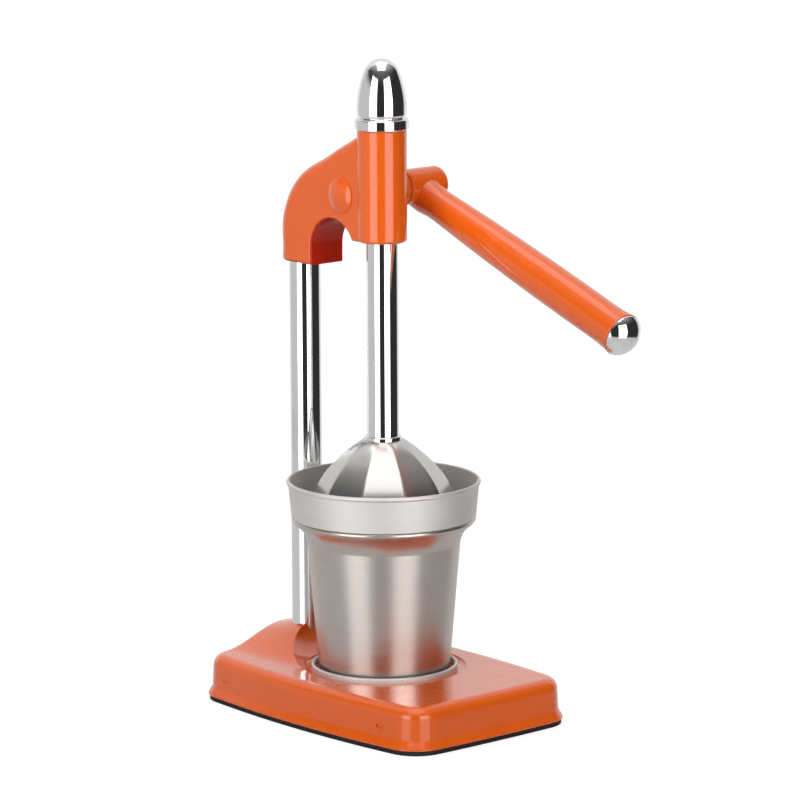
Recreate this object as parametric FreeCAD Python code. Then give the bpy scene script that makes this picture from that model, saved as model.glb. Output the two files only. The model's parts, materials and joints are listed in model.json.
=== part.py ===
import FreeCAD, Part
import math
import os

# Lever citrus juice press, in millimetres.
# The origin is the centre of the base's underside. +Z is up, the user stands at -Y,
# the column stands at +Y and the lever is on the +X side.
# Rest is the lever fully down, with the presser down in the strainer.

Vector = FreeCAD.Vector
ALONG_X = Vector(1, 0, 0)
ALONG_Y = Vector(0, 1, 0)
ALONG_Z = Vector(0, 0, 1)

# Allowances: how far a cut reaches past what it cuts, and the room round a loose bolt
overshoot = 10.0
bolt_room = 0.3
running_gap = 0.04
fit_gap = 0.02

# Base
base_width = 141.0
base_length = 206.0
base_corner_r = 21.0
base_side_bow = 4.5
base_end_bow = 0.8
base_wall = 3.2
lip_flare = 2.6
lip_top = 8.5
base_draft = 0.9
mat_thickness = 3.0
mat_inset = 0.8
shelf_z = 28.0
shelf_edge_r = 7.0
base_roof = 3.0

# Raised saddle round the column, and the seat of the cup
saddle_top_z = 46.0
saddle_back_dip = 0.45
saddle_back_dip_length = 60.0
saddle_fade_length = 26.0
saddle_half_width = 48.0
seat_depth = 2.0
seat_r = 47.8
seat_rim_r = 50.0
saddle_front_r = 66.5
seat_ring_outer_r = 44.7
seat_ring_inner_r = 42.6
seat_ring_top_z = 30.4

# Column
column_y = 71.5
column_r = 9.65
column_wall = 1.5
column_boss_r = 15.0
column_bottom_z = 11.5
set_screw_heights = (275.5, 282.5)
column_top_z = 287.0

# Bottom plate and its fasteners
plate_bottom_z = 8.0
plate_thickness = 1.5
plate_screw_x = 48.0
plate_screw_y = 78.0
plate_boss_r = 5.5
plate_screw_r = 2.0
plate_screw_head_r = 4.0
plate_screw_head_height = 2.4
plate_screw_length = 11.0
column_bolt_r = 4.0
column_bolt_corner_r = 7.2
column_bolt_top_z = 33.0
column_washer_thickness = 1.4
column_plug_top_z = 36.0
bolt_access_r = 9.0
side_mark_length = 5.6
side_mark_depth = 0.9
side_mark_height = 2.2
side_mark_z = 13.0

# Shaft, cup and strainer share one upright axis
shaft_y = -1.0
shaft_r = 9.65
shaft_bottom_z = 169.0
shaft_top_z = 328.5

# Rack and pinion
gear_module = 1.0
pinion_teeth = 30
pressure_angle = math.radians(20)
rack_pitch_y = 8.0
tooth_backlash = 0.2
pinion_half_width = 5.5
pinion_z = 316.5
lever_travel_deg = 200.0
axle_r = 6.0

# Head
head_front_r = 15.0
head_bottom_z = 289.6
head_top_z = 357.6
web_half_width = 13.3
web_edge_r = 6.5
leg_front_y = 50.0
leg_bottom_z = 270.5
arch_y = 30.5
arch_z = 281.1
arch_r = 20.0
arch_edge_r = 1.6
head_edge_r = 2.0
neck_y = 15.0
neck_z = 351.0
neck_slope = 0.517
slope_end_y = 57.0
bush_outer_r = 11.5
lower_bush_top_z = 303.0
upper_bush_bottom_z = 336.0
near_bush_length = 5.0
far_bush_start_x = 8.0
set_screw_r = 2.5
set_screw_socket_r = 1.2
set_screw_socket_depth = 1.7
shaft_bore_r = 10.2
cap_spigot_r = 12.5
cap_spigot_z = 349.5
chamber_half_width = 6.5
axle_bush_outer_r = 8.0
boss_disc_r = 10.8
boss_dome_height = 3.4
housing_r = 11.0
housing_flange_r = 18.4
housing_flange_thickness = 2.0
housing_end_x = 34.0

# Lever
arm_x = 51.0
hub_r = 10.9
hub_start_x = 36.0
hub_end_x = 67.0
arm_droop_deg = 20.4
arm_offset = 3.6
arm_length = 191.1
arm_root_r = 11.0
arm_neck_r = 10.0
arm_middle_r = 12.0
arm_end_r = 12.2
arm_flare_r = 13.2
plug_r = 12.8
plug_bore_r = 7.0
plug_stem = 20.0
end_screw_r = 3.0
end_screw_head_r = 5.5
end_screw_head_height = 3.2
end_screw_length = 14.0
end_screw_seat_x = 63.0
axle_end_x = 60.0
hub_screw_x = 41.5
thrust_washer_r = 9.0
key_half_length = 5.0
key_width = 4.0

# Cap
cap_flange_r = 16.3
cap_body_r = 15.0
cap_top_z = 400.0

# Presser, strainer and cup
presser_panels = 10
presser_turn_deg = -131.0
presser_rim_z = 124.0
presser_rim_r = 45.0
presser_neck_r = 12.0
presser_wall = 1.5
presser_screw_r = 3.0
presser_screw_head_r = 5.5
presser_screw_head_height = 3.6
presser_screw_length = 18.0
presser_washer_r = 8.5
presser_washer_thickness = 1.5
presser_hole_r = 3.2
collar_r = 11.4
reamer_ribs = 10
reamer_wall = 1.6
sheet = 1.0
cup_bottom_z = 26.3
strainer_floor_z = 107.5
drain_hole_r = 1.5
drain_holes = 24
reamer_tip_z = 150.0

# Worked out from the sizes above
pitch_r = gear_module * pinion_teeth / 2
pinion_tip_r = pitch_r + gear_module
tooth_root_depth = 1.25 * gear_module
tooth_pitch = math.pi * gear_module
pinion_y = shaft_y + rack_pitch_y + pitch_r
chamber_r = pinion_tip_r + 0.4
shaft_travel = pitch_r * math.radians(lever_travel_deg)
shaft_axis = Vector(0, shaft_y, 0)
column_axis = Vector(0, column_y, 0)
pinion_axis = Vector(0, pinion_y, pinion_z)
seat_z = shelf_z - seat_depth
web_back_y = column_y + web_half_width
roof_z = seat_z - base_roof
plate_top_z = plate_bottom_z + plate_thickness
lever_down = math.radians(arm_droop_deg)
arm_direction = Vector(0, -math.cos(lever_down), -math.sin(lever_down))
arm_below = Vector(0, math.sin(lever_down), -math.cos(lever_down))
arm_start = Vector(arm_x, pinion_y, pinion_z) + arm_below * arm_offset
hub_screw_place = pinion_axis + ALONG_X * hub_screw_x


# Shapes


def face_of(start, steps, place):
    """A closed face: a step of two numbers is a straight run, of four an arc through a middle point."""
    edges = []
    here = place(*start)
    for step in [*steps, start]:
        there = place(*step[-2:])
        if here.distanceToPoint(there) > 1e-6:
            if len(step) == 4:
                edges.append(Part.Arc(here, place(*step[:2]), there).toShape())
            else:
                edges.append(Part.LineSegment(here, there).toShape())
        here = there
    return Part.Face(Part.Wire(edges))


def outward(solid):
    """The same solid with its faces pointing out."""
    if solid.Volume < 0:
        solid.reverse()
    return solid


def turned(base, along, start, steps):
    """A solid of revolution. Points are radius from the axis, then distance along it from base."""
    side = ALONG_Y if abs(along.x) > 0.5 else ALONG_X
    face = face_of(start, steps, lambda radius, height: base + side * radius + along * height)
    return outward(face.revolve(base, along, 360))


def dome(edge_r, edge_height, top_height):
    """The step of a round dome, from its edge up to its top on the axis."""
    rise = top_height - edge_height
    ball_r = (edge_r**2 + rise**2) / (2 * rise)
    half_turn = math.asin(edge_r / ball_r) / 2
    return (ball_r * math.sin(half_turn), top_height - ball_r * (1 - math.cos(half_turn)), 0, top_height)


def extruded_along_x(start, steps, half_width):
    """A side profile of Y, Z points, as thick as twice the half width."""
    face = face_of(start, steps, lambda y, z: Vector(-half_width, y, z))
    return outward(face.extrude(ALONG_X * (2 * half_width)))


def rod(base, along, radius, start, end):
    """A plain round bar from start to end along its axis."""
    return Part.makeCylinder(radius, end - start, base + along * start, along)


def sleeve(base, along, inner_r, outer_r, start, end):
    """A plain tube."""
    return rod(base, along, outer_r, start, end).cut(rod(base, along, inner_r, start - 1, end + 1))


def headed_screw(base, along, head_r, head_height, shank_r, length):
    """A screw with a domed head at base and its shank along the axis."""
    steps = [
        (head_r, 0),
        (head_r * 0.94, -head_height * 0.6, head_r * 0.6, -head_height),
        (0, -head_height),
    ]
    head = turned(base, along, (0, 0), steps)
    return head.fuse(rod(base, along, shank_r, -0.5, length)).removeSplitter()


# Base


def base_outline(inset, z):
    """The plan of the base: bowed sides joined by round corners, drawn in by the inset."""
    half_x = base_width / 2 - inset
    half_y = base_length / 2 - inset
    corner_r = base_corner_r - inset
    corner_x = half_x - corner_r - base_side_bow
    corner_y = half_y - corner_r - base_end_bow
    reach_x = half_x - corner_x
    reach_y = half_y - corner_y
    side_r = (reach_x**2 + corner_y**2 - corner_r**2) / (2 * (reach_x - corner_r))
    end_r = (reach_y**2 + corner_x**2 - corner_r**2) / (2 * (reach_y - corner_r))
    centre = Vector(corner_x, corner_y, 0)
    to_side = (centre - Vector(half_x - side_r, 0, 0)).normalize()
    to_end = (centre - Vector(0, half_y - end_r, 0)).normalize()
    on_side = centre + to_side * corner_r
    on_end = centre + to_end * corner_r
    on_bend = centre + (to_side + to_end).normalize() * corner_r

    def mirrored(point, sign_x, sign_y):
        return Vector(point.x * sign_x, point.y * sign_y, z)

    edges = []
    for sign in (1, -1):
        side_start = mirrored(on_side, sign, -sign)
        side_end = mirrored(on_side, sign, sign)
        end_start = mirrored(on_end, sign, sign)
        end_end = mirrored(on_end, -sign, sign)
        next_side = mirrored(on_side, -sign, sign)
        edges.append(Part.Arc(side_start, Vector(sign * half_x, 0, z), side_end))
        edges.append(Part.Arc(side_end, mirrored(on_bend, sign, sign), end_start))
        edges.append(Part.Arc(end_start, Vector(0, sign * half_y, z), end_end))
        edges.append(Part.Arc(end_end, mirrored(on_bend, -sign, sign), next_side))
    return Part.Wire([edge.toShape() for edge in edges])


def base_slab(inset, bottom, top):
    """An upright slab of the base's plan."""
    return outward(Part.Face(base_outline(inset, bottom)).extrude(ALONG_Z * (top - bottom)))


def top_height(x, y):
    """The height of the base's top: a level shelf, with a bell-shaped saddle that dips towards the back."""
    dip_start_y = base_length / 2 - saddle_back_dip_length
    across = min(abs(x) / saddle_half_width, 1)
    dip = max(y - dip_start_y, 0) / saddle_back_dip_length
    rise = (saddle_top_z - shelf_z) * (1 - saddle_back_dip * dip**2)
    fade = min(max(y / saddle_fade_length, 0), 1)
    return shelf_z + rise * (0.5 + 0.5 * math.cos(math.pi * across)) * fade**2 * (3 - 2 * fade)


def below_top():
    """Everything under the top of the base, as one smooth surface drawn down to the ground."""
    columns = 29
    rows = 33
    half_x = base_width / 2 + 6
    half_y = base_length / 2 + 6
    grid = []
    for column in range(columns):
        x = half_x * (2 * column / (columns - 1) - 1)
        line = []
        for row in range(rows):
            y = half_y * (2 * row / (rows - 1) - 1)
            line.append(Vector(x, y, top_height(x, y)))
        grid.append(line)
    surface = Part.BSplineSurface()
    surface.interpolate(grid)
    return outward(surface.toShape().extrude(ALONG_Z * -(saddle_top_z + overshoot)))


def seat_cut():
    """What is cut for the cup: its flat seat, and the hollow front of the saddle behind it."""
    rim_z = shelf_z + 0.2
    steps = [
        (seat_r, seat_z),
        (seat_rim_r - 0.5, seat_z + 0.9, seat_rim_r, rim_z),
        (60.2, 34.6, saddle_front_r, saddle_top_z),
        (saddle_front_r, saddle_top_z + overshoot),
        (0, saddle_top_z + overshoot),
    ]
    return turned(shaft_axis, ALONG_Z, (0, seat_z), steps)


def plate_corners():
    """Where the four screws of the bottom plate stand."""
    return [Vector(x, y, 0) for x in (-plate_screw_x, plate_screw_x) for y in (-plate_screw_y, plate_screw_y)]


def base_shell():
    """The enamelled base: a flared lip, drafted walls, the saddle, and a hollow underside with bosses."""
    lip_edge = base_slab(0, mat_thickness, mat_thickness + 1.2)
    flare_wires = [base_outline(0, mat_thickness + 1.2), base_outline(lip_flare, lip_top)]
    wall_top = saddle_top_z + overshoot
    wall_inset = lip_flare + base_draft * (wall_top - lip_top) / (shelf_z - lip_top)
    wall_wires = [base_outline(lip_flare, lip_top), base_outline(wall_inset, wall_top)]
    flare = outward(Part.makeLoft(flare_wires, True, True))
    wall = outward(Part.makeLoft(wall_wires, True, True)).common(below_top())
    top_edges = [edge for edge in wall.Edges if edge.BoundBox.ZMin > shelf_z - 0.5]
    wall = wall.makeFillet(shelf_edge_r, top_edges)
    body = wall.fuse([flare, lip_edge]).cut(seat_cut())
    hollow = base_slab(lip_flare + base_wall, 0, roof_z)
    bosses = [rod(corner, ALONG_Z, plate_boss_r, plate_top_z, roof_z) for corner in plate_corners()]
    bosses.append(rod(column_axis, ALONG_Z, column_boss_r, plate_top_z, roof_z))
    body = body.cut(hollow.cut(bosses[0].fuse(bosses[1:])))
    holes = [rod(corner, ALONG_Z, plate_screw_r + fit_gap, 0, roof_z - 1) for corner in plate_corners()]
    holes.append(rod(column_axis, ALONG_Z, column_r + fit_gap, column_bottom_z, wall_top))
    holes.append(rod(column_axis, ALONG_Z, column_bolt_r + bolt_room, 0, column_bottom_z + 1))
    body = body.cut(holes[0].fuse(holes[1:]))
    return body.cut(side_marks()).removeSplitter()


def side_wall_x(y):
    """How far out the side wall of the base stands, near the marks."""
    along = y / (base_length / 2 - base_corner_r)
    return base_width / 2 - lip_flare - base_side_bow * along**2


def side_marks():
    """Two small pressed marks low on the long side of the base."""
    marks = []
    for y in (-plate_screw_y + 8, plate_screw_y - 4):
        wall_x = side_wall_x(y)
        corner = Vector(-wall_x - overshoot, y - side_mark_length / 2, side_mark_z)
        marks.append(Part.makeBox(overshoot + side_mark_depth, side_mark_length, side_mark_height, corner))
    return marks[0].fuse(marks[1])


def base_mat():
    """The rubber sheet, with a hole that gives access to the column bolt."""
    access = rod(column_axis, ALONG_Z, bolt_access_r, -overshoot, overshoot)
    return base_slab(mat_inset, 0, mat_thickness).cut(access)


def bottom_plate():
    """The steel plate inside the base."""
    plate = base_slab(lip_flare + base_wall + 0.4, plate_bottom_z, plate_top_z)
    top = plate_top_z + 1
    holes = [rod(corner, ALONG_Z, plate_screw_r + bolt_room, 0, top) for corner in plate_corners()]
    holes.append(rod(column_axis, ALONG_Z, column_bolt_r + bolt_room, 0, top))
    return plate.cut(holes[0].fuse(holes[1:]))


def plate_screws():
    """Four screws that pull the plate up to the bosses."""
    head = (plate_screw_head_r, plate_screw_head_height)
    screws = []
    for corner in plate_corners():
        under_plate = corner + ALONG_Z * plate_bottom_z
        screws.append(headed_screw(under_plate, ALONG_Z, *head, plate_screw_r, plate_screw_length))
    return Part.makeCompound(screws)


def seat_ring():
    """The steel ring that centres the cup, with a rounded top edge."""
    middle_r = (seat_ring_inner_r + seat_ring_outer_r) / 2
    shoulder_z = seat_ring_top_z - 0.9
    steps = [
        (seat_ring_outer_r, seat_z),
        (seat_ring_outer_r, shoulder_z),
        (middle_r, seat_ring_top_z, seat_ring_inner_r, shoulder_z),
    ]
    return turned(shaft_axis, ALONG_Z, (seat_ring_inner_r, seat_z), steps)


# Column


def column_tube():
    """The chromed tube between the base and the head."""
    return sleeve(column_axis, ALONG_Z, column_r - column_wall, column_r, column_bottom_z, column_top_z)


def column_plug():
    """The threaded plug in the foot of the column."""
    outer_r = column_r - column_wall - fit_gap
    return sleeve(column_axis, ALONG_Z, column_bolt_r + fit_gap, outer_r, column_bottom_z, column_plug_top_z)


def column_washer():
    """The washer under the head of the column bolt."""
    under = plate_bottom_z - column_washer_thickness
    return sleeve(column_axis, ALONG_Z, column_bolt_r + bolt_room, 8.0, under, plate_bottom_z)


def column_bolt():
    """The hexagon bolt that holds the column down."""
    head_top = plate_bottom_z - column_washer_thickness
    head_bottom = mat_thickness + 0.4
    head_centre = column_axis + ALONG_Z * head_bottom
    corners = []
    for corner in range(7):
        angle = math.tau * corner / 6
        corners.append(head_centre + Vector(math.cos(angle), math.sin(angle), 0) * column_bolt_corner_r)
    head = Part.Face(Part.makePolygon(corners)).extrude(ALONG_Z * (head_top - head_bottom))
    shank = rod(column_axis, ALONG_Z, column_bolt_r, head_bottom, column_bolt_top_z)
    return head.fuse(shank).removeSplitter()


# Head


def slope_height(y):
    """The height of the web's straight slope, which climbs forward to the neck."""
    return neck_z - neck_slope * (y - neck_y)


def crown_reach(angle):
    """How far the web's top lies from the arch's centre in this direction: its slope, then its round back."""
    lean = math.atan(neck_slope)
    back_r = (web_back_y - slope_end_y) / (1 - math.sin(lean))
    back_y = web_back_y - back_r
    back_z = slope_height(slope_end_y) - back_r * math.cos(lean)
    off_y = arch_y - back_y
    off_z = arch_z - back_z
    along = off_y * math.cos(angle) + off_z * math.sin(angle)
    on_back = -along + math.sqrt(along**2 - off_y**2 - off_z**2 + back_r**2)
    if arch_y + on_back * math.cos(angle) > slope_end_y:
        return on_back
    return (slope_height(arch_y) - arch_z) / (math.sin(angle) + neck_slope * math.cos(angle))


def web_slice(base, outwards, reach, edge_r):
    """One slice of the web: a plate from base outwards, with its outer corners rounded."""
    half = web_half_width
    slant = edge_r * (1 - math.sqrt(0.5))

    def place(across, out):
        return base + ALONG_X * across + outwards * out

    def corner(sign):
        middle = place(sign * (half - slant), reach - slant)
        return Part.Arc(place(sign * half, reach - edge_r), middle, place(sign * (half - edge_r), reach))

    edges = [
        Part.LineSegment(place(-half, 0), place(-half, reach - edge_r)),
        corner(-1),
        Part.LineSegment(place(-half + edge_r, reach), place(half - edge_r, reach)),
        corner(1),
        Part.LineSegment(place(half, reach - edge_r), place(half, 0)),
        Part.LineSegment(place(half, 0), place(-half, 0)),
    ]
    return Part.Wire(Part.__sortEdges__([edge.toShape() for edge in edges]))


def head_web():
    """The arched web: slices up the leg, round the arch and forward to the neck, with the arch cut out."""
    full_r = web_half_width - 0.2
    inner = 6.0
    leg_reach = web_back_y - arch_y - inner
    slices = []
    for z in (leg_bottom_z, leg_bottom_z + 5):
        slices.append(web_slice(Vector(0, arch_y + inner, z), ALONG_Y, leg_reach, full_r))
    round_leg_deg = 58.0
    for turn_deg in (0, 12, 26, 42, round_leg_deg, 74, 90):
        angle = math.radians(turn_deg)
        outwards = Vector(0, math.cos(angle), math.sin(angle))
        base = Vector(0, arch_y, arch_z) + outwards * inner
        blend = min(turn_deg / round_leg_deg, 1)
        edge_r = full_r + (web_edge_r - full_r) * blend
        slices.append(web_slice(base, outwards, crown_reach(angle) - inner, edge_r))
    for forward in (9, 18, 27):
        y = arch_y - forward
        base = Vector(0, y, arch_z + inner)
        slices.append(web_slice(base, ALONG_Z, slope_height(y) - base.z, web_edge_r))
    web = outward(Part.makeLoft(slices, True, False))
    leg_edges = [edge for edge in web.Edges if edge.BoundBox.ZMax < leg_bottom_z + 0.1]
    outer_edges = [edge for edge in leg_edges if edge.BoundBox.YMax > arch_y + inner + 1]
    web = web.makeFillet(head_edge_r, outer_edges)
    return web.cut(arch_cut()).cut(front_underside())


def flared_side(opening, edge_r):
    """The steps across one cheek of the head: an opening that widens round the cheek's edge."""
    inside = web_half_width - edge_r
    slant = edge_r * math.sqrt(0.5)
    beyond = web_half_width + 5
    return [
        (inside, opening),
        (inside + slant, opening + edge_r - slant, web_half_width + 0.05, opening + edge_r),
        (beyond, opening + edge_r),
    ]


def mirrored_steps(steps):
    """The same steps on the other cheek, in the opposite order."""
    inside, bend, beyond = steps
    middle_x, middle_out, edge_x, edge_out = bend
    return [
        (-beyond[0], beyond[1]),
        (-edge_x, edge_out),
        (-middle_x, middle_out, -inside[0], inside[1]),
    ]


def arch_cut():
    """What is cut for the arch: a round top and a straight front to the leg, both with rounded edges."""
    steps = [*mirrored_steps(flared_side(arch_r, arch_edge_r)), *flared_side(arch_r, arch_edge_r)]
    beyond = web_half_width + 5
    arch_axis = Vector(0, arch_y, arch_z)
    centre_steps = [*steps, (beyond, 0)]
    top = face_of((-beyond, 0), centre_steps, lambda x, out: arch_axis + ALONG_X * x + ALONG_Z * out)
    round_top = outward(top.revolve(arch_axis, ALONG_X, 360))
    foot = face_of((-beyond, 0), centre_steps, lambda x, out: arch_axis + ALONG_X * x + ALONG_Y * out)
    straight = outward(foot.extrude(ALONG_Z * -(arch_z - leg_bottom_z + overshoot)))
    return round_top.fuse(straight)


def front_underside():
    """What is cut below the web where it joins the front, with rounded edges."""
    steps = [*mirrored_steps(flared_side(0, head_edge_r)), *flared_side(0, head_edge_r)]
    beyond = web_half_width + 5
    below = leg_bottom_z - head_bottom_z - overshoot
    start = Vector(0, -overshoot, head_bottom_z)

    def place(across, up):
        return start + ALONG_X * across + ALONG_Z * up

    face = face_of((-beyond, below), [*steps, (beyond, below)], place)
    return outward(face.extrude(ALONG_Y * (arch_y + overshoot)))


def head_casting():
    """The enamelled head, bored for the shaft, the pinion, the column and the cap."""
    slant = head_edge_r * (1 - math.sqrt(0.5))
    front_steps = [
        (head_front_r - head_edge_r, head_bottom_z),
        (head_front_r - slant, head_bottom_z + slant, head_front_r, head_bottom_z + head_edge_r),
        (head_front_r, head_top_z - 0.6),
        (head_front_r - 0.6, head_top_z),
        (0, head_top_z),
    ]
    front = turned(shaft_axis, ALONG_Z, (0, head_bottom_z), front_steps)
    disc_steps = [
        (boss_disc_r, -2),
        (boss_disc_r, 0.5),
        (boss_disc_r - 0.3, 0.8, boss_disc_r - 0.8, 0.9),
        dome(boss_disc_r - 0.8, 0.9, boss_dome_height),
    ]
    near_side = Vector(-web_half_width, pinion_y, pinion_z)
    disc = turned(near_side, -ALONG_X, (0, -2), disc_steps)
    body = front.fuse([head_web(), disc]).removeSplitter()
    below_head = head_bottom_z - overshoot
    above_head = head_top_z + overshoot
    cuts = [
        rod(shaft_axis, ALONG_Z, shaft_bore_r, below_head, above_head),
        rod(shaft_axis, ALONG_Z, bush_outer_r, below_head, lower_bush_top_z),
        rod(shaft_axis, ALONG_Z, bush_outer_r, upper_bush_bottom_z, above_head),
        rod(shaft_axis, ALONG_Z, cap_spigot_r, cap_spigot_z, above_head),
        rod(pinion_axis, ALONG_X, chamber_r, -chamber_half_width, web_half_width + overshoot),
        rod(pinion_axis, ALONG_X, axle_bush_outer_r, -chamber_half_width - near_bush_length, 0),
        rod(column_axis, ALONG_Z, column_r + fit_gap, leg_bottom_z - overshoot, column_top_z),
    ]
    for height in set_screw_heights:
        cuts.append(rod(Vector(0, column_y, height), ALONG_Y, set_screw_r, 0, web_half_width + overshoot))
    return body.cut(cuts[0].fuse(cuts[1:])).removeSplitter()


def axle_housing():
    """The bearing boss on the lever side: a spigot pressed into the head, a flange and a round boss."""
    flange_x = web_half_width + housing_flange_thickness
    steps = [
        (chamber_r - fit_gap, chamber_half_width),
        (chamber_r - fit_gap, web_half_width),
        (housing_flange_r, web_half_width),
        (housing_flange_r, flange_x - 0.8),
        (housing_flange_r - 0.8, flange_x),
        (housing_r + 2, flange_x),
        (housing_r + 0.6, flange_x + 0.6, housing_r, flange_x + 2),
        (housing_r, housing_end_x),
        (axle_bush_outer_r, housing_end_x),
    ]
    body = turned(pinion_axis, ALONG_X, (axle_bush_outer_r, chamber_half_width), steps)
    return body.cut(rod(shaft_axis, ALONG_Z, head_front_r + fit_gap, head_bottom_z, head_top_z))


def axle_bush(start, end):
    """A bronze bush round the axle, between these two ends."""
    return sleeve(pinion_axis, ALONG_X, axle_r + running_gap, axle_bush_outer_r, start, end)


def guide_bush(start, end):
    """A bronze bush round the shaft, between these two heights."""
    return sleeve(shaft_axis, ALONG_Z, shaft_r + running_gap, bush_outer_r, start, end)


def column_set_screws():
    """Two grub screws in the back of the head, against the column."""
    screws = []
    for height in set_screw_heights:
        base = Vector(0, column_y, height)
        end = web_half_width - 0.6
        screw = rod(base, ALONG_Y, set_screw_r - fit_gap, column_r + fit_gap, end)
        socket = rod(base, ALONG_Y, set_screw_socket_r, end - set_screw_socket_depth, end + 1)
        screws.append(screw.cut(socket))
    return Part.makeCompound(screws)


def dome_cap():
    """The chromed dome: a flange, a waist and a bullet-shaped top, hollow for the shaft."""
    flange_top = head_top_z + 6.7
    inner_r = bush_outer_r - 0.3
    steps = [
        (cap_spigot_r - fit_gap, cap_spigot_z),
        (cap_spigot_r - fit_gap, head_top_z),
        (cap_flange_r - 0.8, head_top_z),
        (cap_flange_r, head_top_z + 0.8),
        (cap_flange_r, flange_top - 1.4),
        (cap_flange_r - 0.4, flange_top - 0.4, cap_flange_r - 1.4, flange_top),
        (cap_body_r - 0.6, flange_top + 0.8),
        (cap_body_r, flange_top + 2.4),
        (cap_body_r, flange_top + 8.5),
        (13.45, 383.3, 10.6, 392.4),
        dome(10.6, 392.4, cap_top_z),
        (0, cap_top_z - 3),
        (7.6, 392.8),
        (inner_r, 385.5),
        (inner_r, cap_spigot_z),
    ]
    return turned(shaft_axis, ALONG_Z, (inner_r, cap_spigot_z), steps)


# Lever


def lever_arm():
    """The enamelled lever: a round hub and an arm that narrows, swells and flares, bored for its plug."""
    hub_steps = [
        (hub_r - 0.8, hub_start_x),
        (hub_r, hub_start_x + 0.8),
        (hub_r, hub_end_x - 5.0),
        (hub_r - 1.5, hub_end_x - 1.5, hub_r - 5.0, hub_end_x),
        (0, hub_end_x),
    ]
    hub = turned(pinion_axis, ALONG_X, (0, hub_start_x), hub_steps)
    root_centre = 3.0
    halfway = arm_root_r * math.sqrt(0.5)
    arm_steps = [
        (halfway, root_centre - halfway, arm_root_r, root_centre),
        (arm_root_r, hub_r - 1),
        (arm_neck_r + 0.25, hub_r + 5, arm_neck_r, hub_r + 12),
        (arm_middle_r - 0.15, arm_length * 0.48, arm_end_r, arm_length - 20),
        (arm_end_r + 0.25, arm_length - 9, arm_flare_r, arm_length - 0.8),
        (arm_flare_r - 0.1, arm_length - 0.2, arm_flare_r - 0.5, arm_length),
        (0, arm_length),
    ]
    arm = turned(arm_start, arm_direction, (0, root_centre - arm_root_r), arm_steps)
    body = hub.fuse(arm).removeSplitter()
    cuts = [
        rod(arm_start, arm_direction, plug_bore_r, arm_length - plug_stem - 6, arm_length + 1),
        rod(pinion_axis, ALONG_X, axle_r + fit_gap, hub_start_x - 1, axle_end_x + 1.5),
        rod(pinion_axis, ALONG_X, end_screw_r + 0.1, axle_end_x, hub_end_x + overshoot),
        rod(pinion_axis, ALONG_X, end_screw_head_r + 0.5, end_screw_seat_x, hub_end_x + overshoot),
        rod(hub_screw_place, ALONG_Y, set_screw_r, 0, hub_r + overshoot),
    ]
    return body.cut(cuts[0].fuse(cuts[1:])).removeSplitter()


def lever_end_plug():
    """The chromed plug: a stem in the arm, and a domed head with a rounded rim."""
    steps = [
        (plug_bore_r - fit_gap, -plug_stem),
        (plug_bore_r - fit_gap, 0),
        (plug_r - 0.4, 0),
        (plug_r, 0.5),
        (plug_r, 1.4),
        dome(plug_r, 1.4, 8.6),
    ]
    return turned(arm_start + arm_direction * arm_length, arm_direction, (0, -plug_stem), steps)


def key_box(half_length, clearance):
    """The space of the key, or the key itself."""
    width = key_width + 2 * clearance
    corner = Vector(-half_length, pinion_y - width / 2, pinion_z + 3.5 - clearance)
    return Part.makeBox(2 * half_length, width, 4.6 + 2 * clearance, corner)


def axle():
    """The steel axle, with a seat for the key and a tapped end."""
    bar = rod(pinion_axis, ALONG_X, axle_r, 0.4 - chamber_half_width - near_bush_length, axle_end_x)
    thread = rod(pinion_axis, ALONG_X, end_screw_r, axle_end_x - end_screw_length + 1, axle_end_x + 1)
    return bar.cut(thread).cut(key_box(key_half_length, 0))


def involute_angle(radius):
    """How far the flank has turned at this radius, from where it leaves the base circle."""
    ratio = max(radius / (pitch_r * math.cos(pressure_angle)), 1.0)
    roll = math.sqrt(ratio**2 - 1)
    return roll - math.atan(roll)


def pinion():
    """The gear on the axle: involute teeth, with a gap facing the rack at rest."""
    half_at_pitch = math.pi / (2 * pinion_teeth) - tooth_backlash / (4 * pitch_r)
    root_r = pitch_r - tooth_root_depth
    flank_steps = 4
    flank = []
    for step in range(flank_steps + 1):
        radius = root_r + (pinion_tip_r - root_r) * step / flank_steps
        half = half_at_pitch + involute_angle(pitch_r) - involute_angle(radius)
        flank.append((radius, half))
    points = []
    for tooth in range(pinion_teeth):
        middle = math.pi + 2 * math.pi * (tooth + 0.5) / pinion_teeth
        rising = [(radius, middle - half) for radius, half in flank]
        falling = [(radius, middle + half) for radius, half in reversed(flank)]
        for radius, angle in rising + falling:
            y = pinion_y + radius * math.cos(angle)
            z = pinion_z + radius * math.sin(angle)
            points.append(Vector(-pinion_half_width, y, z))
    face = Part.Face(Part.makePolygon([*points, points[0]]))
    blank = outward(face.extrude(ALONG_X * (2 * pinion_half_width)))
    bore = rod(pinion_axis, ALONG_X, axle_r + fit_gap, -overshoot, overshoot)
    return blank.cut(bore).cut(key_box(overshoot, fit_gap))


def pinion_key():
    """The square key between the axle and the pinion."""
    return key_box(key_half_length, 0)


def pinion_washers():
    """A thrust washer on each side of the pinion."""
    start = pinion_half_width + 0.1
    end = chamber_half_width - 0.1
    near = sleeve(pinion_axis, ALONG_X, axle_r + running_gap, thrust_washer_r, -end, -start)
    far = sleeve(pinion_axis, ALONG_X, axle_r + running_gap, thrust_washer_r, start, end)
    return Part.makeCompound([near, far])


def hub_washer():
    """The washer between the housing and the hub."""
    start = housing_end_x + 0.1
    return sleeve(pinion_axis, ALONG_X, axle_r + running_gap, thrust_washer_r, start, hub_start_x)


def hub_set_screw():
    """The grub screw that locks the hub to the axle, on the side away from the user."""
    end = hub_r - 0.8
    screw = rod(hub_screw_place, ALONG_Y, set_screw_r - fit_gap, axle_r + fit_gap, end)
    socket = rod(hub_screw_place, ALONG_Y, set_screw_socket_r, end - set_screw_socket_depth, end + 1)
    return screw.cut(socket)


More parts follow.
